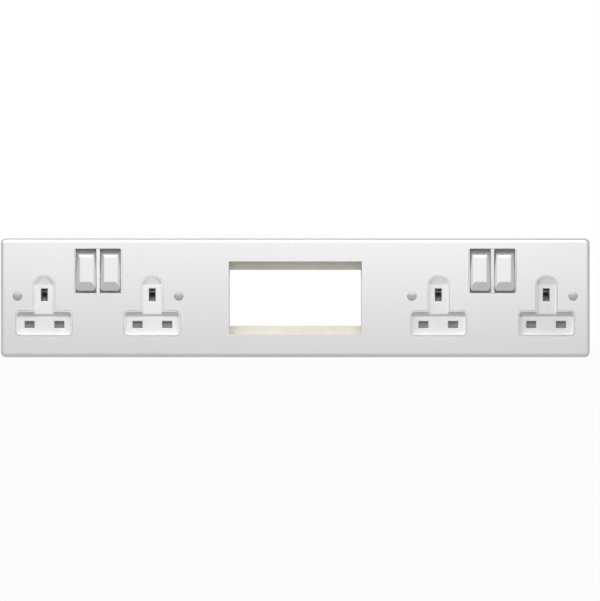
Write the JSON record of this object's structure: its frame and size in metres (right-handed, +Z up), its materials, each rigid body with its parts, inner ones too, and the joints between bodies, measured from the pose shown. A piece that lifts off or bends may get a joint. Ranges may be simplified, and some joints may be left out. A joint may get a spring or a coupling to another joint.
{
  "type": "quad power outlet",
  "caption": "Long metal wall plate with switched three-pin mains outlets in two groups and an open aperture for data modules between them.",
  "frame": {"origin": "centre of the plate's outline on the wall plane, in the middle of the module aperture", "axes": "+X along the plate to the right seen from the front, +Y into the wall, +Z up"},
  "size_m": [0.441, 0.0388, 0.089],
  "materials": {
    "plate_steel": "fine brushed satin",
    "insert_white": "smooth moulded white",
    "shutter_grey": "plain moulded",
    "cover_white": "plain moulded off-white",
    "rocker_plastic": "plain moulded",
    "cap_plate": "satin plated",
    "frame_zinc": "yellow passivated",
    "screw_steel": "plated",
    "contact_brass": "bright stamped",
    "spring_steel": "drawn wire"
  },
  "bodies": {
    "housing": {"front_plate": "plate_steel", "module_frame": "frame_zinc", "module_frame_nuts": "screw_steel", "fixing_screws": "screw_steel", "left_front_moulding": "insert_white", "left_rear_cover": "cover_white", "left_cover_screws": "screw_steel", "left_live_feed": "contact_brass", "left_neutral_bar": "contact_brass", "left_earth_bar": "contact_brass", "left_earth_terminal": "contact_brass", "left_live_terminal": "contact_brass", "left_neutral_terminal": "contact_brass", "left_terminal_screws": "screw_steel", "right_front_moulding": "insert_white", "right_rear_cover": "cover_white", "right_cover_screws": "screw_steel", "right_live_feed": "contact_brass", "right_neutral_bar": "contact_brass", "right_earth_bar": "contact_brass", "right_earth_terminal": "contact_brass", "right_live_terminal": "contact_brass", "right_neutral_terminal": "contact_brass", "right_terminal_screws": "screw_steel", "live_contact_1": "contact_brass", "shutter_spring_1": "spring_steel", "live_contact_2": "contact_brass", "shutter_spring_2": "spring_steel", "live_contact_3": "contact_brass", "shutter_spring_3": "spring_steel", "live_contact_4": "contact_brass", "shutter_spring_4": "spring_steel"},
    "switch_1": {"rocker_1": "rocker_plastic", "rocker_cap_1": "cap_plate"},
    "plunger_1": {"switch_plunger_1": "rocker_plastic"},
    "contact_1": {"switch_contact_1": "contact_brass"},
    "shutter_1": {"shutter_1": "shutter_grey"},
    "switch_2": {"rocker_2": "rocker_plastic", "rocker_cap_2": "cap_plate"},
    "plunger_2": {"switch_plunger_2": "rocker_plastic"},
    "contact_2": {"switch_contact_2": "contact_brass"},
    "shutter_2": {"shutter_2": "shutter_grey"},
    "switch_3": {"rocker_3": "rocker_plastic", "rocker_cap_3": "cap_plate"},
    "plunger_3": {"switch_plunger_3": "rocker_plastic"},
    "contact_3": {"switch_contact_3": "contact_brass"},
    "shutter_3": {"shutter_3": "shutter_grey"},
    "switch_4": {"rocker_4": "rocker_plastic", "rocker_cap_4": "cap_plate"},
    "plunger_4": {"switch_plunger_4": "rocker_plastic"},
    "contact_4": {"switch_contact_4": "contact_brass"},
    "shutter_4": {"shutter_4": "shutter_grey"}
  },
  "joints": [
    {"name": "switch_1_rock", "type": "hinge", "parent": "housing", "child": "switch_1", "pos_m": [-0.1566, 0.003, 0.0201], "axis": [1, 0, 0], "range_deg": [0, 14]},
    {"name": "plunger_1_slide", "type": "slide", "parent": "switch_1", "child": "plunger_1", "axis": [0, -0.9925, 0.1219], "range_m": [0, 0.0012], "stiffness_N_per_m": 200, "springref_m": -0.004},
    {"name": "contact_1_rock", "type": "hinge", "parent": "housing", "child": "contact_1", "pos_m": [-0.1566, 0.0104, 0.0201], "axis": [1, 0, 0], "range_deg": [-10, 0]},
    {"name": "shutter_1_slide", "type": "slide", "parent": "housing", "child": "shutter_1", "axis": [0, 0, -1], "range_m": [0, 0.0066], "stiffness_N_per_m": 60, "springref_m": -0.004, "deforming": ["shutter_spring_1"]},
    {"name": "switch_2_rock", "type": "hinge", "parent": "housing", "child": "switch_2", "pos_m": [-0.1384, 0.003, 0.0201], "axis": [1, 0, 0], "range_deg": [0, 14]},
    {"name": "plunger_2_slide", "type": "slide", "parent": "switch_2", "child": "plunger_2", "axis": [0, -0.9925, 0.1219], "range_m": [0, 0.0012], "stiffness_N_per_m": 200, "springref_m": -0.004},
    {"name": "contact_2_rock", "type": "hinge", "parent": "housing", "child": "contact_2", "pos_m": [-0.1384, 0.0104, 0.0201], "axis": [1, 0, 0], "range_deg": [-10, 0]},
    {"name": "shutter_2_slide", "type": "slide", "parent": "housing", "child": "shutter_2", "axis": [0, 0, -1], "range_m": [0, 0.0066], "stiffness_N_per_m": 60, "springref_m": -0.004, "deforming": ["shutter_spring_2"]},
    {"name": "switch_3_rock", "type": "hinge", "parent": "housing", "child": "switch_3", "pos_m": [0.1384, 0.003, 0.0201], "axis": [1, 0, 0], "range_deg": [0, 14]},
    {"name": "plunger_3_slide", "type": "slide", "parent": "switch_3", "child": "plunger_3", "axis": [0, -0.9925, 0.1219], "range_m": [0, 0.0012], "stiffness_N_per_m": 200, "springref_m": -0.004},
    {"name": "contact_3_rock", "type": "hinge", "parent": "housing", "child": "contact_3", "pos_m": [0.1384, 0.0104, 0.0201], "axis": [1, 0, 0], "range_deg": [-10, 0]},
    {"name": "shutter_3_slide", "type": "slide", "parent": "housing", "child": "shutter_3", "axis": [0, 0, -1], "range_m": [0, 0.0066], "stiffness_N_per_m": 60, "springref_m": -0.004, "deforming": ["shutter_spring_3"]},
    {"name": "switch_4_rock", "type": "hinge", "parent": "housing", "child": "switch_4", "pos_m": [0.1566, 0.003, 0.0201], "axis": [1, 0, 0], "range_deg": [0, 14]},
    {"name": "plunger_4_slide", "type": "slide", "parent": "switch_4", "child": "plunger_4", "axis": [0, -0.9925, 0.1219], "range_m": [0, 0.0012], "stiffness_N_per_m": 200, "springref_m": -0.004},
    {"name": "contact_4_rock", "type": "hinge", "parent": "housing", "child": "contact_4", "pos_m": [0.1566, 0.0104, 0.0201], "axis": [1, 0, 0], "range_deg": [-10, 0]},
    {"name": "shutter_4_slide", "type": "slide", "parent": "housing", "child": "shutter_4", "axis": [0, 0, -1], "range_m": [0, 0.0066], "stiffness_N_per_m": 60, "springref_m": -0.004, "deforming": ["shutter_spring_4"]}
  ],
  "couplings": [
    {"joint": "contact_1_rock", "follows": "switch_1_rock", "ratio": -0.71429},
    {"joint": "contact_2_rock", "follows": "switch_2_rock", "ratio": -0.71429},
    {"joint": "contact_3_rock", "follows": "switch_3_rock", "ratio": -0.71429},
    {"joint": "contact_4_rock", "follows": "switch_4_rock", "ratio": -0.71429}
  ]
}
